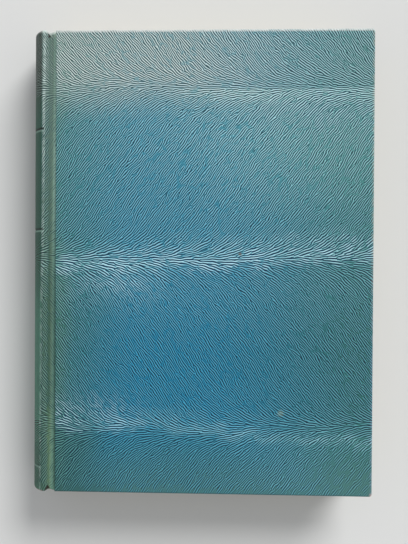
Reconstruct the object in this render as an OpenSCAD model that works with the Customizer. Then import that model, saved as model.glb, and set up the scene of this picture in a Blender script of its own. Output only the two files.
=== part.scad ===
// Case-bound hardback book, closed and lying on its back cover.
// X runs from the spine to the fore edge, Y from tail to head, Z up.
// The origin is under the middle of the closed book.

/* [Pages] */
// Width of a page, from the shoulder line to the fore edge
page_w = 150; // [100:1:220]
// Height of a page
page_h = 210; // [140:1:300]
// Thickness of the block of pages
block_t = 22; // [16:0.5:40]
// Number of folded sections in the block
sections = 13; // [9:2:19]
// How far the back of the block bulges behind its shoulders, and how deep its fore edge is hollowed
round_depth = 3.5; // [3:0.1:5]
// Height of the backed shoulder above the face of the block
shoulder_h = 2.3; // [2:0.1:2.4]
// Radius of the hollow between the shoulder and the face of the block
shoulder_r = 2.4; // [2.2:0.1:3]

/* [Case] */
// Thickness of the boards
board_t = 2.4; // [2.2:0.1:3.2]
// Thickness of the covering cloth
cloth_t = 0.45; // [0.3:0.05:0.5]
// Overhang of the covered boards at head and tail
square_h = 3; // [2:0.5:5]
// Overhang of the covered boards at the fore edge
square_f = 4; // [2:0.5:6]
// Distance from the shoulder line to the covered edge of the board
joint_w = 6; // [5.6:0.1:9]
// Width of the cloth turned in round the boards
turn_in = 15; // [10:1:20]
// Radius that rounds the long edges of the boards
board_edge_r = 0.35; // [0.2:0.05:0.6]
// Radius of the fore-edge corners at the head, rubbed round
head_corner_r = 1.6; // [1.2:0.1:4]
// Radius of the fore-edge corners at the tail
tail_corner_r = 1.2; // [1.2:0.1:4]
// Thickness of the card inlay in the spine
inlay_t = 0.6; // [0.4:0.1:1]
// Width of the hollow between the lining and the inlay, at its widest
hollow_w = 0.9; // [0.8:0.1:1.5]
// Rounding of the two ends of the spine, seen from the front
spine_end_r = 2.6; // [1.5:0.1:3.5]
// Depth of the dent in the cloth at each end of a groove
dent_d = 2; // [0.8:0.1:2.6]

/* [Linings] */
// Thickness of the endpapers
paper_t = 0.2; // [0.15:0.05:0.25]
// Cloth that shows round the pastedown
pastedown_margin = 3.5; // [2:0.5:6]
// Thickness of the mull
mull_t = 0.25; // [0.2:0.05:0.3]
// How far the mull stops short of the head and tail of the block
mull_short = 16; // [14:1:40]
// Width of the mull's flange on each board
mull_flange = 24; // [15:1:35]
// Thickness of the spine lining paper
lining_t = 0.3; // [0.2:0.05:0.4]
// Radius of the headband's bead
bead_r = 0.9; // [0.6:0.1:1.1]
// Length of the headband's cloth on the back of the block
band_tail = 12; // [6:1:13]

/* [Spine stamping] */
// Height of the upper line of the plain panel above the middle of the book
panel_top = 62; // [40:1:65]
// Height of the lower line of the plain panel above the middle of the book
panel_bottom = 15; // [0:1:30]
// Distance of the foot line from the tail edge
foot_line = 12; // [8:1:30]
// Width of a stamped line
line_w = 0.7; // [0.4:0.1:1.2]
// Depth of a stamped line
line_d = 0.15; // [0.1:0.05:0.2]

/* [Hidden] */
$fn = 64;

// Clearance between the closed covers and the block, and across the joints
play = 0.25;
// Slack between two curved sheets that are glued together
glue = 0.12;
// How far a cutting shape runs past what it cuts
eps = 1;

// Levels above the middle of the block, from its face outwards
face = block_t / 2;
paste_in = face + paper_t + play;
lay_in = paste_in + paper_t;
board_in = lay_in + cloth_t;
board_out = board_in + board_t;
cover_out = board_out + cloth_t;

// Circle of the block's back, through both shoulder lines
shoulder_z = face + shoulder_h;
back_r = (pow(shoulder_z, 2) + pow(round_depth, 2)) / (2 * round_depth);
back_c = [back_r - round_depth, 0];

// Circle of the shoulder's tip, and of the hollow that leads from it down to the face
tip_r = 1;
tip_z = shoulder_z - tip_r;
tip_c = [back_c.x - sqrt(pow(back_r - tip_r, 2) - pow(tip_z, 2)), tip_z];
hollow_z = face + shoulder_r;
hollow_c = [tip_c.x + sqrt(pow(tip_r + shoulder_r, 2) - pow(hollow_z - tip_z, 2)), hollow_z];

// Layers on the back of the block, from its back circle outwards
mull_r = back_r + glue;
lining_r = mull_r + mull_t + glue;
fold_t = 2 * paper_t;
mull_off = fold_t + glue;
mull_tip_r = tip_r + mull_off;

// Circle of the case's spine, tangent to the cloth that wraps the shoulder's tip
case_gap = lining_r + lining_t + hollow_w + inlay_t + glue - back_r;
wrap_off = board_in - face;
wrap_r = tip_r + wrap_off;
case_reach = round_depth + case_gap + tip_c.x;
case_r = (pow(case_reach, 2) + pow(tip_z, 2) - pow(wrap_r, 2)) / (2 * (case_reach - wrap_r));
case_c = [case_r - round_depth - case_gap, 0];
inlay_r = case_r - glue - inlay_t;
lap_r = inlay_r - glue - cloth_t;

// Slices of the lining, the headbands and the inlay between the shoulders
lining_z = face - 1.5;
band_z = face - bead_r;
inlay_z = face;

// Hinge line of a cover: over the groove, just outside the closed cover
hinge_x = (hollow_c.x + joint_w) / 2 - play;
hinge_z = cover_out + play;
root_x1 = hinge_x - play / 2;
cover_x0 = hinge_x + play / 2;

// Plan of the covered boards, and of the window inside their turn-ins
cover_x1 = page_w + square_f;
cover_y1 = page_h / 2 + square_h;
window_x1 = cover_x1 - turn_in;
window_y1 = cover_y1 - turn_in;
flange_x1 = joint_w + mull_flange;
mull_y1 = page_h / 2 - mull_short;

// The closed book's box, which places the origin
spine_x0 = case_c.x - case_r - cloth_t;
mid_x = (spine_x0 + cover_x1) / 2;

// The point where two circles meet, to the left of the line from a to b
function meet(a, ra, b, rb) =
    let (
        d = norm(b - a),
        along = (ra * ra - rb * rb + d * d) / (2 * d),
        across = sqrt(ra * ra - along * along),
        u = (b - a) / d
    )
    a + along * u + across * [-u.y, u.x];

// Puts the book on its back cover, with the origin under its middle
module place() {
    translate([-mid_x, 0, cover_out])
        children();
}

// Turns the front cover's parts over to the back of the book
module to_back() {
    mirror([0, 0, 1])
        children();
}

// Stands a drawing of X and Z upright, and runs it along Y from y0 to y1
module along_y(y0, y1) {
    translate([0, y1, 0])
        rotate([90, 0, 0])
            linear_extrude(y1 - y0)
                children();
}

// Stands a drawing of Y and Z upright, and runs it along X from x0 to x1
module along_x(x0, x1) {
    translate([x0, 0, 0])
        rotate([90, 0, 90])
            linear_extrude(x1 - x0)
                children();
}

// Rectangle between two corners
module span(low, high) {
    translate(low)
        square(high - low);
}

// Box between two corners
module block(low, high) {
    translate(low)
        cube(high - low);
}

// Rectangle between two corners, all its corners rounded
module soft_span(low, high, r) {
    span(low + [r, 0], high - [r, 0]);
    span(low + [0, r], high - [0, r]);
    for (x = [low.x + r, high.x - r], y = [low.y + r, high.y - r])
        translate([x, y])
            circle(r);
}

// Section of a backed spine, filled: the back at radius r about c, the shoulders' tips at radius tr
// about t, and the hollows and the faces moved out by off
module spine_outline(c, r, t, tr, off) {
    top = t.y + tr * (t.y - c.y) / norm(t - c);
    intersection() {
        translate(c)
            circle(r, $fn = 180);
        span([c.x - 2 * r, -top], [t.x, top]);
    }
    for (below = [0, 1])
        mirror([0, below]) {
            translate(t)
                circle(tr);
            difference() {
                polygon([[t.x - tr / 2, 0], [hollow_c.x, 0], hollow_c, t, [t.x - tr / 2, t.y - tr / 2]]);
                translate(hollow_c)
                    circle(shoulder_r - off);
            }
        }
    span([hollow_c.x - tip_r, -face - off], [page_w, face + off]);
}

// One sheet of thickness th wrapped round the backed spine, as far as the joints
module wrapped_sheet(c, r, t, tr, off, th) {
    difference() {
        spine_outline(c, r + th, t, tr + th, off + th);
        spine_outline(c, r, t, tr, off);
        span([root_x1, -cover_out - eps], [page_w + eps, cover_out + eps]);
    }
}

// Part of a ring about c between the radii r0 and r1, on the spine's side and within z of the middle
module back_strip(c, r0, r1, z) {
    intersection() {
        difference() {
            translate(c)
                circle(r1, $fn = 180);
            translate(c)
                circle(r0, $fn = 180);
        }
        span([c.x - 2 * r1, -z], [0, z]);
    }
}

// Rounded and backed block of pages: scalloped back, shoulders and hollowed fore edge
module text_block() {
    swing = asin(tip_z / (back_r - tip_r));
    step = 2 * swing / (sections - 1);
    scallop_r = back_r * sin(step / 2);
    fore_r = (pow(face, 2) + pow(round_depth, 2)) / (2 * round_depth);
    color([0.86, 0.82, 0.72])
        place()
            along_y(-page_h / 2, page_h / 2)
                difference() {
                    union() {
                        spine_outline(back_c, back_r - 0.6 * scallop_r, tip_c, tip_r, 0);
                        for (i = [1 : sections - 2])
                            translate(back_c - (back_r - scallop_r) * [cos(i * step - swing), sin(i * step - swing)])
                                circle(scallop_r);
                    }
                    translate([page_w - round_depth + fore_r, 0])
                        circle(fore_r, $fn = 180);
                }
}

// Free half of an endpaper, with the fold that lies up the shoulder and back to the joint
module flyleaf() {
    along_y(-page_h / 2, page_h / 2) {
        intersection() {
            difference() {
                translate(hollow_c)
                    circle(shoulder_r);
                translate(hollow_c)
                    circle(shoulder_r - fold_t);
            }
            polygon([[tip_c.x, 0], tip_c, hollow_c, [hollow_c.x, 0]]);
        }
        span([hollow_c.x, face], [root_x1, face + fold_t]);
        span([hollow_c.x, face], [page_w, face + paper_t]);
    }
}

module front_flyleaf() {
    color([0.9, 0.88, 0.8])
        place()
            flyleaf();
}

module back_flyleaf() {
    color([0.9, 0.88, 0.8])
        place()
            to_back()
                flyleaf();
}

// Gauze strip glued round the back of the block, cut at both joints
module mull() {
    mull_tip = meet(back_c, mull_r - mull_tip_r, hollow_c, shoulder_r - mull_off + mull_tip_r);
    color([0.8, 0.77, 0.66])
        place()
            along_y(-mull_y1, mull_y1)
                wrapped_sheet(back_c, mull_r, mull_tip, mull_tip_r, mull_off, mull_t);
}

// Paper lining over the mull
module spine_lining() {
    color([0.62, 0.5, 0.36])
        place()
            along_y(-mull_y1, mull_y1)
                back_strip(back_c, lining_r, lining_r + lining_t, lining_z);
}

// Headband at the head: its cloth is glued to the back of the block, its bead sits on the pages
module headband() {
    reach = asin(band_z / back_r);
    bead_c = mull_r + mull_t - bead_r;
    along_y(page_h / 2 - band_tail, page_h / 2 + bead_r)
        back_strip(back_c, mull_r, mull_r + mull_t, band_z);
    translate([back_c.x, page_h / 2 + bead_r, 0])
        rotate([90, 0, 0])
            rotate([0, 0, 180 - reach])
                rotate_extrude(angle = 2 * reach, $fn = 180)
                    translate([bead_c, 0])
                        circle(bead_r, $fn = 32);
}

module head_band() {
    color([0.85, 0.83, 0.74])
        place()
            headband();
}

module tail_band() {
    color([0.85, 0.83, 0.74])
        place()
            mirror([0, 1, 0])
                headband();
}

// Plan of the spine up to the joints, with its two outer corners rounded, moved in by off
module spine_plan(off) {
    y1 = cover_y1 - off;
    x0 = spine_x0 + off;
    r = spine_end_r - off;
    translate([0, 0, -cover_out])
        linear_extrude(2 * cover_out) {
            span([x0 + r, -y1], [page_w, y1]);
            span([x0, r - y1], [page_w, y1 - r]);
            for (y = [r - y1, y1 - r])
                translate([x0 + r, y])
                    circle(r);
        }
}

// Card strip that keeps the case's spine round
module spine_inlay() {
    color([0.55, 0.47, 0.36])
        place()
            intersection() {
                along_y(-cover_y1, cover_y1)
                    back_strip(case_c, inlay_r, inlay_r + inlay_t, inlay_z);
                spine_plan(cloth_t + glue);
            }
}

// Dents where the cloth draws in at the ends of a groove
module dents() {
    for (s = [-1, 1])
        mirror([0, s < 0 ? 1 : 0, 0])
            translate([0, 0, -cover_out - eps])
                linear_extrude(2 * (cover_out + eps))
                    polygon([
                        [tip_c.x + tip_r, cover_y1 + eps],
                        [tip_c.x + tip_r, cover_y1],
                        [hinge_x - play, cover_y1 - dent_d],
                        [joint_w + cloth_t, cover_y1],
                        [joint_w + cloth_t, cover_y1 + eps]
                    ]);
}

// Line stamped across the spine at height y
module stamped_line(y) {
    along_y(y - line_w / 2, y + line_w / 2)
        back_strip(case_c, case_r + cloth_t - line_d, case_r + cloth_t + eps, tip_z);
}

// The covering cloth round the spine, turned in over the inlay at head and tail
module spine_cloth() {
    color([0.38, 0.52, 0.48])
        place()
            difference() {
                intersection() {
                    union() {
                        along_y(-cover_y1, cover_y1)
                            wrapped_sheet(case_c, case_r, tip_c, wrap_r, wrap_off, cloth_t);
                        for (y = [-cover_y1, window_y1])
                            along_y(y, y + turn_in)
                                back_strip(case_c, lap_r, case_r + cloth_t / 2, inlay_z);
                    }
                    spine_plan(0);
                }
                intersection() {
                    along_y(-cover_y1, cover_y1)
                        back_strip(case_c, inlay_r - glue, case_r, inlay_z + eps);
                    spine_plan(cloth_t);
                }
                dents();
                for (y = [panel_top, panel_bottom, foot_line - cover_y1])
                    stamped_line(y);
            }
}

// Slab with rounded long edges and its own corner radii at the fore edge, from x0 to x1
module slab(x0, x1, y1, z0, z1, edge_r, head_r, tail_r) {
    intersection() {
        along_y(-y1, y1)
            soft_span([x0, z0], [x1, z1], edge_r);
        along_x(x0, x1)
            soft_span([-y1, z0], [y1, z1], edge_r);
        translate([0, 0, z0])
            linear_extrude(z1 - z0) {
                span([x0, -y1], [x1 - max(head_r, tail_r), y1]);
                span([x0, tail_r - y1], [x1, y1 - head_r]);
                translate([x1 - head_r, y1 - head_r])
                    circle(head_r);
                translate([x1 - tail_r, tail_r - y1])
                    circle(tail_r);
                span([x1 - head_r - eps, 0], [x1 - head_r, y1]);
                span([x1 - tail_r - eps, -y1], [x1 - tail_r, 0]);
            }
    }
}

// Board of a cover
module board() {
    slab(
        joint_w + cloth_t, cover_x1 - cloth_t, cover_y1 - cloth_t, board_in, board_out,
        board_edge_r, head_corner_r - cloth_t, tail_corner_r - cloth_t
    );
}

// Opening inside the turn-ins, from the joint on
module turn_in_window(grow, z0, z1) {
    block([cover_x0 - eps, -window_y1 - grow, z0], [window_x1 + grow, window_y1 + grow, z1]);
}

// The covering cloth of one cover: over the board, round its edges, turned in, and down to the joint
module cover_cloth() {
    difference() {
        union() {
            slab(
                joint_w, cover_x1, cover_y1, lay_in, cover_out,
                board_edge_r + cloth_t, head_corner_r, tail_corner_r
            );
            block([cover_x0, -cover_y1, lay_in], [joint_w + 2 * cloth_t, cover_y1, board_in + cloth_t]);
        }
        board();
        turn_in_window(0, lay_in - eps, board_in);
        dents();
    }
}

// The mull's flange under the pastedown
module flange_box(grow, z0, z1) {
    block([cover_x0 - grow, -mull_y1 - grow, z0], [flange_x1 + grow, mull_y1 + grow, z1]);
}

// Half of an endpaper pasted on the inside of a cover, sunk inside the turn-ins
module pastedown() {
    difference() {
        block(
            [cover_x0, pastedown_margin - cover_y1, paste_in],
            [cover_x1 - pastedown_margin, cover_y1 - pastedown_margin, board_in]
        );
        difference() {
            block([cover_x0 - eps, -cover_y1, lay_in], [cover_x1, cover_y1, board_in + eps]);
            turn_in_window(0, lay_in - eps, board_in + 2 * eps);
        }
        flange_box(0, board_in - mull_t, board_in + eps);
        flange_box(paper_t, paste_in - eps, board_in - mull_t - paper_t);
        difference() {
            turn_in_window(-paper_t, paste_in - eps, board_in - paper_t);
            flange_box(paper_t, paste_in - 2 * eps, board_in + eps);
        }
    }
}

module front_board() {
    color([0.6, 0.56, 0.5])
        place()
            board();
}

module front_cloth() {
    color([0.25, 0.48, 0.54])
        place()
            cover_cloth();
}

module front_mull_flange() {
    color([0.8, 0.77, 0.66])
        place()
            flange_box(0, board_in - mull_t, board_in);
}

module front_pastedown() {
    color([0.9, 0.88, 0.8])
        place()
            pastedown();
}

module back_board() {
    color([0.6, 0.56, 0.5])
        place()
            to_back()
                board();
}

module back_cloth() {
    color([0.25, 0.48, 0.54])
        place()
            to_back()
                cover_cloth();
}

module back_mull_flange() {
    color([0.8, 0.77, 0.66])
        place()
            to_back()
                flange_box(0, board_in - mull_t, board_in);
}

module back_pastedown() {
    color([0.9, 0.88, 0.8])
        place()
            to_back()
                pastedown();
}

text_block();
front_flyleaf();
back_flyleaf();
mull();
spine_lining();
head_band();
tail_band();
spine_inlay();
spine_cloth();
front_board();
front_cloth();
front_mull_flange();
front_pastedown();
back_board();
back_cloth();
back_mull_flange();
back_pastedown();
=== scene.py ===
from math import atan2, cos, pi, radians, sin, sqrt, tan

import bmesh
import bpy
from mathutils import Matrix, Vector


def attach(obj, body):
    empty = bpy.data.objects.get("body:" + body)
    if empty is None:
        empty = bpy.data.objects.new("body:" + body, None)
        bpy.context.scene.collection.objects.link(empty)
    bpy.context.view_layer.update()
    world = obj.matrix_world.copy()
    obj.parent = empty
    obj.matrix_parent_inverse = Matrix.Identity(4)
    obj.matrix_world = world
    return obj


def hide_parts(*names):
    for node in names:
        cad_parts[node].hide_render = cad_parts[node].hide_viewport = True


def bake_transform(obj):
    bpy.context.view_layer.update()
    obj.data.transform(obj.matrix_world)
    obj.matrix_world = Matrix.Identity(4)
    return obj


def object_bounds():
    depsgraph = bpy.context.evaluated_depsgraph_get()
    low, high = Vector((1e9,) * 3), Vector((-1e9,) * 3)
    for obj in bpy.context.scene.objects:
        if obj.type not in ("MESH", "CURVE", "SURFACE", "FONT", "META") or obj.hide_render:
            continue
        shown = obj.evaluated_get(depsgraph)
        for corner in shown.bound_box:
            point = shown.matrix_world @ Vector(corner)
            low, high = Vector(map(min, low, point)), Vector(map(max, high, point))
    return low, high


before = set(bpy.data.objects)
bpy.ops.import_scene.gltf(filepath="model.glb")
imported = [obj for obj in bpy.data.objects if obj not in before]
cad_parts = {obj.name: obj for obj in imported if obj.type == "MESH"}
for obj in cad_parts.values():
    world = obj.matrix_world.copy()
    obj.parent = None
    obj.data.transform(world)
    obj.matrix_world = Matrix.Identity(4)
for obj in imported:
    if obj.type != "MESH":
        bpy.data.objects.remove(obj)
closed_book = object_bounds()

# View
# The book lies on its back cover and is seen from straight above, a little nearer to its fore edge.
# The lens is that of a hand-held camera about 0.4 m up.
scene = bpy.context.scene
lens = bpy.data.cameras.new("view")
lens.sensor_fit = "VERTICAL"
lens.sensor_height = 24
lens.lens = lens.sensor_height / 2 / tan(radians(36) / 2)
lens.clip_start = 0.01
view = bpy.data.objects.new("view", lens)
view.location = (0.01885, -0.00046, 0.41827)
view.rotation_euler = (radians(-0.579), radians(2.482), radians(0.332))
scene.collection.objects.link(view)
scene.camera = view


# Covering cloth over the boards
# Teal bookcloth on a cotton base, coated and embossed by a roller with a fine grain like combed hair.
# One sheet is glued over both boards and turned in. Light has bleached its margins, and hands have
# rubbed its edges and corners pale. Painted highlights on its grain, bands and shoulder, and painted
# shade in its troughs, stamped lines and groove ends, are laid into its colour.
cloth_thick = 0.00045
turn_in = 0.015
board_left = -0.06782
cover_top = closed_book[1].z
cover_deep = 0.0033
rim_soft = 0.0008
head_corner = 0.0016
tail_corner = 0.0012
inner_lip = 0.001
lip_raised = 0.0003

# Places on the cloth laid flat: the middle line of the spine, the shoulder, the board's side of the
# joint, and the three lines stamped across the spine
spine_line = -0.0941624
shoulder = (-0.0786, -0.0772)
board_side = (-0.0684, -0.0679)
stamped_lines = (0.062, 0.015, -0.096)

# The grain looks drawn by a comb that swings through level once in each half wave along the cloth,
# counted from a line under the head
half_wave = 0.07935
wave_top = 0.0807


class Dye:
    """One socket of a finish, with ordinary arithmetic on it."""

    def __init__(self, tree, socket=None):
        self.tree = tree
        self.socket = socket

    def node(self, kind, sockets=None, out=0, **settings):
        made = self.tree.nodes.new(kind)
        for name, value in settings.items():
            setattr(made, name, value)
        for name, value in (sockets or {}).items():
            if isinstance(value, Dye):
                self.tree.links.new(value.socket, made.inputs[name])
            else:
                made.inputs[name].default_value = value
        return Dye(self.tree, made.outputs[out])

    def math(self, operation, *values):
        return self.node("ShaderNodeMath", dict(enumerate(values)), operation=operation)

    def __add__(self, other):
        return self.math("ADD", self, other)

    __radd__ = __add__

    def __sub__(self, other):
        return self.math("SUBTRACT", self, other)

    def __rsub__(self, other):
        return self.math("SUBTRACT", other, self)

    def __mul__(self, other):
        return self.math("MULTIPLY", self, other)

    __rmul__ = __mul__

    def __or__(self, other):
        """The stronger of two masks at each point."""
        return self.math("MAXIMUM", self, other)

    __ror__ = __or__

    def __abs__(self):
        return self.math("ABSOLUTE", self)

    def rise(self, low, high):
        """0 at low and 1 at high, with a smooth rise between them."""
        return self.node(
            "ShaderNodeMapRange", {"Value": self, "From Min": low, "From Max": high},
            interpolation_type="SMOOTHSTEP",
        )

    def fall(self, low, high):
        """1 at low and 0 at high, with a smooth fall between them."""
        return 1 - self.rise(low, high)

    def within(self, start, full, fading, end):
        """0 outside start and end, with a rise to full and a fall from fading."""
        return self.rise(start, full) * self.fall(fading, end)

    def near(self, level, full, gone):
        """1 less than full away from a level, and 0 more than gone away from it."""
        return abs(self - level).fall(full, gone)

    def tint(self, under, over):
        """The colour under, covered by the colour over as far as this mask says."""
        return self.node("ShaderNodeMix", {0: self, 6: under, 7: over}, out=2, data_type="RGBA")

    def part(self, axis):
        return self.node("ShaderNodeSeparateXYZ", {0: self}, out="XYZ".index(axis))

    def noise(self, scale, detail=2.0, stretch=(1, 1, 1)):
        where = self.node("ShaderNodeMapping", {"Vector": self, "Scale": stretch})
        return self.node("ShaderNodeTexNoise", {"Vector": where, "Scale": scale, "Detail": detail})

    def beside(self, out):
        """Another output of the node that this socket belongs to."""
        return Dye(self.tree, self.socket.node.outputs[out])

    def feed(self, shader, socket):
        self.tree.links.new(self.socket, shader.inputs[socket])


def tone(red, green, blue):
    """A colour as it reads on a screen, from 0 to 255, made linear."""
    return (*(((c / 255 + 0.055) / 1.055) ** 2.4 for c in (red, green, blue)), 1)


def new_finish(name):
    finish = bpy.data.materials.new(name)
    finish.use_nodes = True
    return finish, Dye(finish.node_tree), finish.node_tree.nodes["Principled BSDF"]


def lay_on(shader, base, rough, relief, strength, deep=0.0001):
    """Feeds a colour, a roughness and a fine relief into a finish."""
    base.feed(shader, "Base Color")
    rough.feed(shader, "Roughness")
    bump = relief.node("ShaderNodeBump", {"Height": relief, "Strength": strength, "Distance": deep})
    bump.feed(shader, "Normal")


def combed_ridges(cut, y):
    """The fine ridges of the grain, and a mask of where the comb leans furthest."""
    wander = cut.noise(32) - 0.5
    swing = cut.math("SINE", (wave_top - y + wander * 0.014) * (pi / half_wave))
    comb = cut.math("TANH", swing * 2.6) * radians(54) + wander * 0.5 + (cut.noise(280, 1) - 0.5) * 0.7
    waver = cut.node("ShaderNodeTexNoise", {"Vector": cut, "Scale": 300, "Detail": 1}, out=1)
    waver = cut.node("ShaderNodeVectorMath", {0: waver, 1: (0.5, 0.5, 0.5)}, operation="SUBTRACT")
    bent = cut.node(
        "ShaderNodeVectorMath", {0: waver, 1: (0.0006, 0.0006, 0), 2: cut}, operation="MULTIPLY_ADD"
    )
    leaning = swing * swing
    widen = 0.1 + y.rise(-0.06, -0.03) * 0.06 - y.rise(0.03, 0.06) * 0.13
    spread = 1 - leaning.fall(0.0, 0.3) * widen
    ridges = 0
    for fineness, count, share in ((290, 3.9, 1.1), (250, 3.6, 0.6)):
        lines = cut.node("ShaderNodeTexGabor", {
            "Vector": bent, "Scale": fineness, "Frequency": spread * count, "Anisotropy": 1,
            "Orientation": comb + pi / 2,
        }, out=1)
        ridges = ridges + cut.math("SINE", lines * (2 * pi)) * (0.6 + lines.beside(2)) * share
    return ridges, leaning


def left_standing(x, y, spine):
    """How much of the grain still stands. Rods pressed it flat in the groove, a stamp on the
    spine's middle panel, and thumbs at the lower corner and the tail edge."""
    groove = x.within(-0.0752, -0.074, -0.0684, -0.0678)
    panel = spine * y.within(-0.0755, -0.0745, 0.077, 0.078)
    rubbed = x.rise(0.03, 0.065) * y.fall(-0.09, -0.077) | y.fall(-0.1065, -0.1035)
    return 1 - (groove * 0.7 | panel * 0.7 | rubbed * 0.6)


def wear_and_highlights(base, x, y, lean, spine, height, worn):
    """Worn edges show the pale cotton under the dye, with painted highlights on the head edge and
    along the shoulder's ridge.
    """
    # The head edge is worn pale and also carries a painted highlight
    head_edge = y.within(0.1064, 0.1074, 0.1086, 0.1096) * (0.45 + worn.rise(0.3, 0.6) * 0.4)
    base = (head_edge * (1 - spine * 0.6)).tint(base, tone(216, 220, 216))
    fore_edge = x.rise(0.0786, 0.0798) * worn.rise(0.35, 0.6) * 0.3
    base = fore_edge.tint(base, y.rise(-0.05, 0.02).tint(tone(140, 150, 176), tone(176, 164, 142)))
    tip = x.within(0.0785, 0.0797, 0.0808, 0.0814) * y.fall(-0.1072, -0.106)
    base = (tip * 0.6).tint(base, tone(206, 176, 166))
    tail_end = y.near(-0.108, 0.0004, 0.0009) * x.within(-0.083, -0.079, -0.0765, -0.0745)
    base = (tail_end * worn.rise(0.35, 0.6) * 0.6).tint(base, tone(200, 180, 170))
    # A painted highlight runs along the top of the shoulder's ridge
    ridge_highlight = (lean + y.fall(-0.03, 0.02) * 0.0006).near(-0.0774, 0.0003, 0.001)
    ridge_highlight = ridge_highlight * worn.rise(0.3, 0.6) * (0.26 + y.rise(0.0, 0.1) * 0.36)
    return (ridge_highlight * (1 + height * 0.45)).tint(base, tone(194, 214, 208))


def stamp_lines(base, y, lean):
    """Each stamped line gets painted shade in its channel and a painted highlight on the lip under it."""
    across = lean.fall(-0.0776, -0.0768)
    for level, dark in zip(stamped_lines, (0.9, 0.7, 0.1)):
        # The channel gets painted shade, and the lip under it a painted highlight
        channel_shade = y.near(level + 0.0002, 0.0003, 0.0007) * across
        lip_highlight = y.near(level - 0.0008, 0.0002, 0.0006) * across
        base = (channel_shade * dark).tint(base, tone(18, 32, 28))
        base = (lip_highlight * 0.45).tint(base, tone(150, 184, 170))
    return base


def crease(base, x, y, front, worn):
    """The cloth is pulled into a small fold at each end of the front groove, painted dark as shade,
    and frayed beside the one at the head."""
    soft = 0.0002
    head_top = 0.1073 - (x + 0.075) * 0.75
    head_foot = 0.105 + (x + 0.0747) * 0.45
    head_fold_shade = x.rise(-0.075, -0.0748) * (head_top - y).rise(0, soft) * (y - head_foot).rise(0, soft)
    half_width = 0.0017 - (y + 0.1075) * 0.8
    tail_fold_shade = (half_width - abs(x + 0.0745)).rise(0, soft) * y.within(-0.1078, -0.1074, -0.104, -0.1035)
    frayed = x.within(-0.0733, -0.0729, -0.0706, -0.07) * y.rise(0.105, 0.1062) * front
    base = (frayed * worn.rise(0.4, 0.6) * 0.6).tint(base, tone(190, 180, 166))
    # The folds are painted dark as shade
    return ((head_fold_shade + tail_fold_shade) * front * 0.95).tint(base, tone(38, 28, 26))


def mark(base, cut, worn):
    """A small dark spot and a larger faint one lie on the cover."""
    for mark_x, mark_y, size, strength, colour in (
        (0.0187, 0.0039, 0.0011, 0.8, tone(96, 84, 74)),
        (0.038, -0.0697, 0.0022, 0.35, tone(150, 170, 150)),
    ):
        away = cut.node(
            "ShaderNodeVectorMath", {0: cut, 1: (mark_x, mark_y, 0)}, out=1, operation="DISTANCE"
        )
        spot = (away + (worn - 0.5) * size).fall(size * 0.3, size)
        base = (spot * strength).tint(base, colour)
    return base


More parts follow.
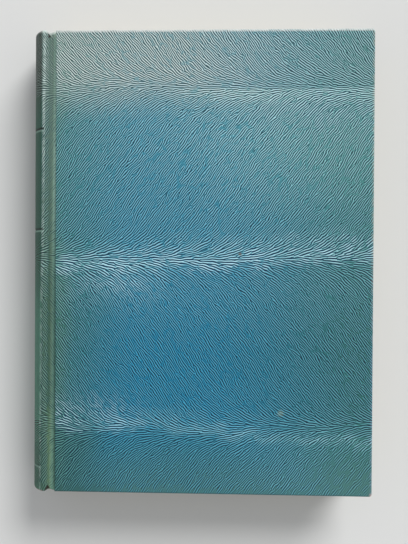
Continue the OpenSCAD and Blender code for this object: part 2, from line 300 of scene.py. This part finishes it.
def bookcloth():
    finish, dye, shader = new_finish("bookcloth")

    # Each point's place on the cut sheet laid flat. The back half has the front half's pattern,
    # mirrored about the middle line of the spine
    cut = dye.node("ShaderNodeUVMap", uv_map="cloth")
    front = cut.part("X").rise(spine_line, spine_line + 0.00001)
    x = abs(cut.part("X") - spine_line) + spine_line
    y = cut.part("Y")
    lean = x - y * 0.006
    spine = x.fall(*shoulder)
    joint = x.within(*shoulder, *board_side)
    speckle = cut.noise(60, 3)
    worn = cut.noise(300, 3)

    ridges, leaning = combed_ridges(cut, y)
    height = ridges * left_standing(x, y, spine) * (2 - leaning * 0.45)

    # The comb swings through level across the middle, below it and under the head, and a band of
    # painted sheen follows each of these lines, where the level ridges would catch the light
    drift = cut.noise(14, 3) - 0.5
    x_drift = x + drift * 0.03
    y_drift = y + drift * 0.02
    y_near = y + drift * 0.008 + (cut.noise(110, 3) - 0.5) * 0.012
    line = y_near - x * 0.052
    low_line = y_near + x.rise(-0.06, 0.07) * 0.0068 - 0.0022
    head_line = y + drift * 0.003
    under_head = head_line.fall(0.0798, 0.0812)
    patch = x_drift.near(-0.038, 0.004, 0.034) * y_near.within(-0.026, -0.004, -0.004, 0.004)

    # A deep blue middle, greener margins, paler dye towards the head, painted sheen along the bands,
    # and painted shade at the lower left
    margin = x_drift.fall(-0.07, -0.026) + x_drift.rise(0.0, 0.08)
    margin = margin | y_drift.fall(-0.112, -0.062) * 0.7
    pale = (
        line.rise(-0.006, 0.001) * 0.04 + y_drift.rise(-0.045, 0.0) * 0.1 + y_drift.rise(0.0, 0.08) * 0.16
        + line.within(-0.005, 0.001, 0.0, 0.016) * 0.16
        + low_line.within(-0.083, -0.077, -0.078, -0.066) * 0.13
        + x_drift.rise(-0.02, 0.07) * low_line.fall(-0.078, -0.074) * 0.13
        + patch * 0.12
        + x_drift.rise(-0.04, 0.06) * y_drift.rise(-0.01, 0.06) * under_head * 0.22
        + x_drift.rise(-0.04, 0.03) * head_line.rise(0.072, 0.08) * under_head * 0.25
    )
    by_joint = x_drift.fall(-0.068, -0.059)
    bleached = y_drift.rise(0.064, 0.088) * (1 - x_drift.rise(-0.02, 0.06) * 0.8)
    shaded = x_drift.fall(-0.062, -0.034) * y_drift.fall(-0.09, -0.055)
    base = margin.tint(tone(16, 116, 150), tone(46, 102, 98))
    base = (by_joint * 0.5).tint(base, tone(62, 106, 84))
    base = pale.tint(base, tone(104, 176, 176))
    base = (bleached * 0.4).tint(base, tone(160, 176, 166))
    base = (y_drift.fall(-0.108, -0.076) * 0.35).tint(base, tone(96, 130, 120))
    base = (shaded * 0.6).tint(base, tone(30, 78, 78))

    # The joint is duller and greener than the cover, with a pale strip beside the board that is painted
    # lighter still as painted light, where the board's edge would shade the groove
    side = y_drift.rise(-0.03, 0.09).tint(tone(70, 98, 80), tone(96, 120, 110))
    low_joint = joint * y_drift.fall(-0.085, -0.06) * lean.rise(-0.0755, -0.0738)
    side = (low_joint * 0.8).tint(side, tone(104, 132, 100))
    base = joint.tint(base, side)
    strip = joint * lean.rise(-0.0734, -0.0716) * (0.4 + y_drift.rise(-0.02, 0.03) * 0.35)
    base = strip.tint(base, tone(140, 174, 154))
    lit_strip = joint * lean.rise(-0.0726, -0.071) * (0.22 + y_drift.rise(-0.03, 0.06) * 0.63)
    lit = y_drift.rise(-0.03, 0.05).tint(tone(108, 190, 180), tone(196, 232, 218))
    base = lit_strip.tint(base, lit)
    flank = joint * x.fall(-0.0755, -0.0742) * (0.6 - y_drift.rise(0.01, 0.05) * 0.4)

    # The spine is painted darker still, most of all at the head, as painted shade on the side that
    # turns from the light
    shade = y_drift.rise(-0.03, 0.0).tint(tone(74, 128, 108), tone(46, 90, 74))
    shade = (y_drift.fall(-0.1, -0.075) * 0.6).tint(shade, tone(56, 96, 74))
    base = spine.tint(base, bleached.tint(shade, tone(40, 64, 50)))
    base = (flank * 0.5).tint(base, tone(44, 84, 70))

    # Painted shade darkens the troughs of the grain
    trough_shade = bleached.tint(tone(2, 40, 60), tone(32, 66, 68))
    trough_shade = flank.tint(trough_shade, tone(24, 54, 48))
    trough_shade = spine.tint(trough_shade, tone(8, 20, 18))
    base = (height.fall(-1.1, 0.1) * 0.95).tint(base, trough_shade)

    # Its crests get a painted highlight, which glints along the bands
    glint = line.near(0.001, 0.0005, 0.005) | low_line.near(-0.077, 0.0005, 0.005)
    glint = (glint | patch * 0.4) * speckle.rise(0.3, 0.75)
    crest_highlight = (pale * 1.6).tint(tone(82, 178, 210), tone(196, 240, 244))
    crest_highlight = (margin * 0.5).tint(crest_highlight, tone(118, 172, 164))
    crest_highlight = (by_joint * 0.45).tint(crest_highlight, tone(136, 176, 146))
    crest_highlight = bleached.tint(crest_highlight, tone(214, 228, 224))
    crest_highlight = (glint * 0.6).tint(crest_highlight, tone(170, 224, 240))
    crest_highlight = (shaded * 0.7).tint(crest_highlight, tone(96, 158, 150))
    crest_highlight = (flank * 0.6).tint(crest_highlight, tone(176, 208, 194))
    share = height.rise(0.08, 1.2) * (0.62 + pale * 0.7 + glint * 0.15)
    share = share * (1 - spine * 0.7 - (joint - flank * 0.45) * 0.55)
    base = share.tint(base, crest_highlight)

    # Painted shade in the troughs and painted highlight on the crests are strongest where the bands are
    # brightest
    by_head = x_drift.rise(0.0, 0.06) * head_line.rise(0.05, 0.075) * under_head
    left_low = x_drift.fall(-0.055, -0.02) * y_near.within(-0.081, -0.077, -0.07, -0.055)
    band_light_and_shade = line.within(-0.006, -0.001, 0.001, 0.013) | by_head * 0.7 | left_low * 0.8 | patch * 0.7
    band_light_and_shade = band_light_and_shade * speckle.rise(0.25, 0.6) * (1 - joint) * (1 - spine)
    base = (height.fall(-1.0, 0.2) * band_light_and_shade * 0.9).tint(base, tone(0, 44, 82))
    base = (height.rise(0.9, 2.4) * band_light_and_shade * 0.62).tint(base, tone(206, 242, 252))

    base = wear_and_highlights(base, x, y, lean, spine, height, worn)
    base = stamp_lines(base, y, lean)
    base = crease(base, x, y, front, worn)
    base = mark(base, cut, worn)
    lay_on(shader, base, 0.5 + speckle * 0.16 - height * 0.05, height, 0.35, 0.0002)
    shader.inputs["Specular IOR Level"].default_value = 0.25
    return finish


def as_piece(name, shape, finish):
    """Turns a finished shape into a piece of the book, smooth except at sharp folds."""
    mesh = bpy.data.meshes.new(name)
    shape.to_mesh(mesh)
    shape.free()
    mesh.shade_smooth()
    mesh.set_sharp_from_angle(angle=radians(50))
    mesh.materials.append(finish)
    piece = bpy.data.objects.new(name, mesh)
    scene.collection.objects.link(piece)
    return piece


def turn_over(shape):
    """Mirrors a front shape to the back of the book, about the middle of the block.

    Its place on the cloth laid flat goes to the other side of the spine's middle line."""
    for layer in shape.loops.layers.uv:
        for face in shape.faces:
            for corner in face.loops:
                corner[layer].uv.x = 2 * spine_line - corner[layer].uv.x
    middle = (closed_book[0].z + closed_book[1].z) / 2
    bmesh.ops.scale(shape, vec=(1, 1, -1), verts=shape.verts)
    bmesh.ops.translate(shape, vec=(0, 0, 2 * middle), verts=shape.verts)
    bmesh.ops.reverse_faces(shape, faces=shape.faces)


def lowest_face(skin):
    """The large face that looks down, found by its area."""
    return min(skin.faces, key=lambda face: face.normal.z * face.calc_area())


def cover_skin():
    """The front cover's cloth, folded round all edges of the board and turned in."""
    right, head, _ = closed_book[1]
    skin = bmesh.new()
    bmesh.ops.create_cube(skin, size=1)
    bmesh.ops.scale(skin, vec=(right - board_left, 2 * head, cover_deep), verts=skin.verts)
    bmesh.ops.translate(
        skin, vec=((right + board_left) / 2, 0, cover_top - cover_deep / 2), verts=skin.verts
    )
    for end, radius in ((1, head_corner), (-1, tail_corner)):
        upright = [
            e for e in skin.edges
            if all(p.co.x > right - 1e-5 and p.co.y * end > head - 1e-5 for p in e.verts)
        ]
        bmesh.ops.bevel(
            skin, geom=upright, offset=radius, affect="EDGES", segments=6, profile=0.5, material=-1
        )
    skin.normal_update()
    rims = [e for e in skin.edges if sum(abs(f.normal.z) > 0.9 for f in e.link_faces) == 1]
    bmesh.ops.bevel(
        skin, geom=rims, offset=rim_soft, affect="EDGES", segments=5, profile=0.5, material=-1
    )
    skin.normal_update()

    # The cloth ends inside the turn-ins, so the face under the board is cut round and taken out
    for x, y, x_way, y_way in (
        (right - turn_in, 0, 1, 0), (board_left + inner_lip, 0, -1, 0),
        (0, head - turn_in, 0, 1), (0, turn_in - head, 0, -1),
    ):
        inside = lowest_face(skin)
        bmesh.ops.bisect_plane(
            skin, geom=[inside, *inside.edges, *inside.verts],
            plane_co=(x, y, 0), plane_no=(x_way, y_way, 0),
        )
    bmesh.ops.delete(skin, geom=[lowest_face(skin)], context="FACES")

    # The lip by the groove and the rim beside it are raised, clear of the pastedown
    for point in skin.verts:
        if point.co.x < board_left + inner_lip + 0.0001:
            point.co.z = max(point.co.z, cover_top - cover_deep + lip_raised)

    unrolled = skin.loops.layers.uv.new("cloth")
    for face in skin.faces:
        out = face.normal
        for corner in face.loops:
            x, y, z = corner.vert.co
            down = cover_top - z
            if abs(out.z) < 0.7 and abs(out.x) > abs(out.y):
                x += down if out.x > 0 else -down
            elif abs(out.z) < 0.7:
                y += down if out.y > 0 else -down
            corner[unrolled].uv = (x, y)
    return skin


covers = (("front", False), ("back", True))
cloth = bookcloth()
for cover, back in covers:
    skin = cover_skin()
    if back:
        turn_over(skin)
    piece = as_piece(cover + "_cover_cloth", skin, cloth)
    wall = piece.modifiers.new("thickness", "SOLIDIFY")
    wall.thickness = cloth_thick
    wall.offset = -1
    flat = piece.modifiers.new("flat faces", "WEIGHTED_NORMAL")
    flat.keep_sharp = True
    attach(piece, cover + "_cover")
    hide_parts(cover + "_cloth")


# Covering cloth round the spine
# The same sheet goes on from each board, down into the pressed groove, over the shoulder and round
# the back. It is turned in over the card inlay at head and tail, and three lines are stamped on it.
# It is glued nowhere between the shoulders, where the real cloth bends when a cover opens; here it
# keeps its closed shape.
mid_x = 0.07382
mid_z = closed_book[1].z / 2

# Circles of its section, with heights from the middle of the block: the back, the shoulder's tip
# and the hollow of the groove
case_x, case_r = 0.01557948 - mid_x, 0.02148948 + cloth_thick
tip_x, tip_z, tip_r = 0.00059075 - mid_x, 0.0123, 0.00255
hollow_x, hollow_z, hollow_r = 0.00380789 - mid_x, 0.0134, 0.00085

# Lengths along that section, from the crease at the foot of the board to the middle of the spine:
# the floor of the groove, its hollow, the shoulder and the back
crease_x = board_left + 0.0002
lean_in = atan2(hollow_z - tip_z, hollow_x - tip_x)
lean_out = atan2(tip_z, tip_x - case_x)
runs = (
    crease_x - hollow_x, hollow_r * (pi / 2 - lean_in),
    tip_r * (lean_out - lean_in), case_r * (pi - lean_out),
)
spine_cloth_w = sum(runs)

# The cloth comes this far down the board's inner edge to the crease. At head and tail it is folded
# in, and the fold is pressed thinner in the groove and swells out again on the shoulder
down_board = 0.0024
end_fold = 0.0016
fold_pressed = 0.6
fold_swell = 90

# Its ends are drawn in at the corners of the spine, and the stamped lines are shallow channels
drawn_from = 0.099
drawn_over = 0.009
line_half = 0.0003
line_deep = 0.00012


def on_section(s):
    """Place and outward direction on the front half of the spine, s metres on from the crease."""
    if s < runs[0]:
        return crease_x - s, hollow_z - hollow_r, 0, 1
    s -= runs[0]
    if s < runs[1]:
        turn = -pi / 2 - s / hollow_r
        return hollow_x + hollow_r * cos(turn), hollow_z + hollow_r * sin(turn), -cos(turn), -sin(turn)
    s -= runs[1]
    if s < runs[2]:
        turn = lean_in + s / tip_r
        return tip_x + tip_r * cos(turn), tip_z + tip_r * sin(turn), cos(turn), sin(turn)
    turn = lean_out + (s - runs[2]) / case_r
    return case_x + case_r * cos(turn), case_r * sin(turn), cos(turn), sin(turn)


def drawn_in(x):
    """How far the end of the cloth is drawn in at x, at the rounded corner of the spine."""
    corner = 0.0012
    spine_end = closed_book[0].x + corner
    return corner - sqrt(max(0, corner ** 2 - (spine_end - x) ** 2)) if x < spine_end else 0


def nick(x):
    """How far the front cloth is pulled down into the groove's end, as a small uneven fold."""
    nick_x = -0.0709
    nick_deep = 0.0007
    reach = 0.0014 if x < nick_x else 0.0024
    return nick_deep * max(0, 1 - abs(x - nick_x) / reach)


def spine_skin(nicked):
    """Half of the spine's cloth: laid out flat and folded in at both ends, then wrapped on."""
    head = closed_book[1].y
    sheet = bmesh.new()
    bmesh.ops.create_grid(sheet, x_segments=72, y_segments=150, size=0.5)
    bmesh.ops.scale(sheet, vec=(spine_cloth_w, 2 * head - end_fold, 1), verts=sheet.verts)
    bmesh.ops.translate(sheet, vec=(spine_cloth_w / 2, 0, 0), verts=sheet.verts)
    for end in (1, -1):
        edge = [
            e for e in sheet.edges if all(p.co.y * end > head - end_fold / 2 - 1e-6 for p in e.verts)
        ]
        bent = bmesh.ops.spin(
            sheet, geom=edge, cent=(0, end * (head - end_fold / 2), -end_fold / 2), axis=(-end, 0, 0),
            angle=pi, steps=8,
        )
        rim = [g for g in bent["geom_last"] if isinstance(g, bmesh.types.BMEdge)]
        inner = bmesh.ops.extrude_edge_only(sheet, edges=rim)
        moved = [g for g in inner["geom"] if isinstance(g, bmesh.types.BMVert)]
        bmesh.ops.translate(sheet, vec=(0, -end * turn_in, 0), verts=moved)
    for line in stamped_lines:
        for offset in (-0.0004, -0.00022, 0.00022, 0.0004):
            bmesh.ops.bisect_plane(
                sheet, geom=sheet.verts[:] + sheet.edges[:] + sheet.faces[:],
                plane_co=(0, line + offset, 0), plane_no=(0, 1, 0),
            )
    bmesh.ops.recalc_face_normals(sheet, faces=sheet.faces)

    unrolled = sheet.loops.layers.uv.new("cloth")
    for face in sheet.faces:
        for corner in face.loops:
            s, y, h = corner.vert.co
            spare = -h if y > 0 else h
            corner[unrolled].uv = (board_left - down_board - s, y + spare)

    # The folded sheet is drawn in, pressed thinner, stamped and wrapped on
    for point in sheet.verts:
        s, y, h = point.co
        x, z, out_x, out_z = on_section(s)
        pull = min(1, max(0, (abs(y) - drawn_from) / drawn_over))
        drawn = max(drawn_in(x), nick(x) if nicked else 0)
        y -= (1 if y > 0 else -1) * drawn * pull * pull * (3 - 2 * pull)
        h *= min(1, fold_pressed + fold_swell * max(0, s - runs[0] - runs[1]))
        if h > -1e-6 and s > sum(runs[:3]) - 0.001:
            h -= line_deep * any(abs(point.co.y - line) < line_half for line in stamped_lines)
        point.co = (x + out_x * h, y, mid_z + z + out_z * h)
    bmesh.ops.reverse_faces(sheet, faces=sheet.faces)
    sheet.normal_update()
    bmesh.ops.solidify(sheet, geom=sheet.faces[:], thickness=cloth_thick)
    return sheet


for cover, back in covers:
    skin = spine_skin(nicked=not back)
    if back:
        turn_over(skin)
    piece = as_piece(cover + "_spine_cloth", skin, cloth)
    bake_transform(piece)
    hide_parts("spine_cloth")


# Block of pages
# Thirteen folded sections of cream book paper, sewn, glued, rounded and backed. The cut edges show
# the leaves as fine even lines, a little darker where dust has settled between them.
def page_paper():
    finish, dye, shader = new_finish("page_paper")
    place = dye.node("ShaderNodeTexCoord", out=3)
    block_foot = 0.00395
    section_thick = 0.0017
    leaves = place.noise(1, 3, stretch=(14, 14, 4200))
    clumps = place.noise(1, 2, stretch=(30, 30, 900))
    fold = abs(dye.math("SINE", (place.part("Z") - block_foot) * (pi / section_thick)))
    base = leaves.rise(0.3, 0.7).tint(tone(190, 178, 150), tone(226, 217, 194))
    base = (clumps.fall(0.3, 0.6) * 0.5).tint(base, tone(168, 152, 122))
    base = (fold.fall(0, 0.25) * 0.3).tint(base, tone(150, 134, 106))
    lay_on(shader, base, 0.8 + leaves * 0.15, leaves + clumps, 0.4, 0.0002)
    return finish


def refinish(node, finish):
    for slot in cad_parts[node].material_slots:
        slot.material = finish


refinish("text_block", page_paper())


# Endpapers
# At each end one folded sheet of off-white paper. Half of it lies free on the block, the other half
# is pasted on the inside of the board over the turned-in cloth, and its fold bends in the joint; here
# the fold is a flat strip.
fold_strip_w = 0.0036
fold_strip_high = 0.2088
fold_strip_x = 0.0056 - mid_x
fold_strip_z = mid_z + 0.01141
fold_strip_thick = 0.00003


def endpaper():
    finish, dye, shader = new_finish("endpaper")
    place = dye.node("ShaderNodeTexCoord", out=3)
    fibres = place.noise(900, 4)
    clouds = place.noise(25, 4)
    base = clouds.rise(0.3, 0.7).tint(tone(222, 214, 194), tone(234, 228, 212))
    base = (fibres.rise(0.5, 0.8) * 0.25).tint(base, tone(205, 194, 168))
    edge = abs(place.part("Y")).rise(0.085, 0.106) | place.part("X").rise(0.055, 0.08)
    base = (edge * 0.5).tint(base, tone(206, 188, 150))
    lay_on(shader, base, 0.78 + fibres * 0.15, fibres + clouds * 2, 0.2)
    return finish


paper = endpaper()
for cover, back in covers:
    refinish(cover + "_flyleaf", paper)
    refinish(cover + "_pastedown", paper)
    strip = bmesh.new()
    bmesh.ops.create_grid(strip, x_segments=36, y_segments=1, size=0.5)
    bmesh.ops.scale(strip, vec=(fold_strip_w, fold_strip_high, 1), verts=strip.verts)
    bmesh.ops.translate(strip, vec=(fold_strip_x, 0, fold_strip_z), verts=strip.verts)
    bmesh.ops.solidify(strip, geom=strip.faces[:], thickness=-fold_strip_thick)
    bmesh.ops.recalc_face_normals(strip, faces=strip.faces)
    if back:
        turn_over(strip)
    piece = as_piece(cover + "_endpaper_fold", strip, paper)
    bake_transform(piece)


# Headbands
# A beaded cotton band glued to each end of the block's back, only for looks on a machine-bound book.
# Its threads wrap the bead side by side in two colours.
def headband_cotton():
    finish, dye, shader = new_finish("headband_cotton")
    place = dye.node("ShaderNodeTexCoord", out=3)
    stripe_w = 0.0009
    thread_w = 0.00016
    z = place.part("Z")
    stripe = dye.math("SINE", (z + place.part("X") * 0.2) * (pi / stripe_w))
    thread = dye.math("SINE", z * (pi / thread_w))
    base = stripe.rise(-0.15, 0.15).tint(tone(70, 110, 118), tone(226, 218, 196))
    base = (thread.fall(-1, 0) * 0.35).tint(base, tone(70, 66, 58))
    lay_on(shader, base, 0.7 + place.noise(400) * 0.2, thread, 0.5)
    return finish


bands = headband_cotton()
refinish("head_band", bands)
refinish("tail_band", bands)


# Gauze, lining and card inside the spine
# Open cotton gauze is glued round the back of the block and out on to both boards. Brown paper lines
# it, and a loose strip of grey-brown card keeps the cloth of the spine round.
def gauze():
    finish, dye, shader = new_finish("gauze")
    place = dye.node("ShaderNodeTexCoord", out=3)
    mesh_w = 0.0006
    warp = dye.math("SINE", place.part("Y") * (pi / mesh_w))
    weft = dye.math("SINE", (place.part("X") + place.part("Z")) * (pi / mesh_w))
    threads = abs(warp) | abs(weft)
    base = threads.rise(0.5, 0.95).tint(tone(150, 138, 108), tone(216, 208, 182))
    lay_on(shader, base, 0.75 + place.noise(300) * 0.2, threads, 0.5)
    return finish


def pressed_fibre(name, dark, pale, coarse):
    finish, dye, shader = new_finish(name)
    place = dye.node("ShaderNodeTexCoord", out=3)
    fibres = place.noise(coarse, 5, stretch=(1, 0.35, 1))
    flecks = place.noise(coarse * 2.5, 2)
    base = fibres.rise(0.3, 0.7).tint(dark, pale)
    base = (flecks.rise(0.66, 0.74) * 0.5).tint(base, tone(88, 72, 54))
    lay_on(shader, base, 0.8 + fibres * 0.15, fibres, 0.3)
    return finish


net = gauze()
for node in ("mull", "front_mull_flange", "back_mull_flange"):
    refinish(node, net)
refinish("spine_lining", pressed_fibre("lining_paper", tone(138, 108, 74), tone(172, 142, 104), 260))
refinish("spine_inlay", pressed_fibre("card", tone(126, 112, 90), tone(158, 144, 120), 320))


# Boards
# Dense grey-brown board, squared and glued inside the cloth. Only its cut edges would show, where
# the cloth wears through.
board = pressed_fibre("board", tone(146, 132, 110), tone(176, 164, 142), 180)
refinish("front_board", board)
refinish("back_board", board)


# Table and light
# A plain pale table, one broad soft light from beyond the head of the book on its fore-edge side, and
# even light from all round.
table = bmesh.new()
bmesh.ops.create_grid(table, x_segments=1, y_segments=1, size=1.5)
surface, dye, shader = new_finish("table")
place = dye.node("ShaderNodeTexCoord", out=3)
(0.6 + place.noise(3) * 0.1).feed(shader, "Roughness")
shader.inputs["Base Color"].default_value = tone(222, 222, 220)
shader.inputs["Specular IOR Level"].default_value = 0.1
floor = as_piece("table", table, surface)
floor.location.z = -0.0001

daylight = bpy.data.lights.new("daylight", "SUN")
daylight.angle = radians(30)
daylight.energy = 2.8
lamp = bpy.data.objects.new("daylight", daylight)
lamp.rotation_euler = Vector((-0.45, -0.75, -0.6)).to_track_quat("-Z", "Y").to_euler()
scene.collection.objects.link(lamp)

room = bpy.data.worlds.new("room")
room.use_nodes = True
room.node_tree.nodes["Background"].inputs["Color"].default_value = (0.95, 0.97, 1, 1)
room.node_tree.nodes["Background"].inputs["Strength"].default_value = 0.5
scene.world = room
scene.view_settings.view_transform = "Standard"
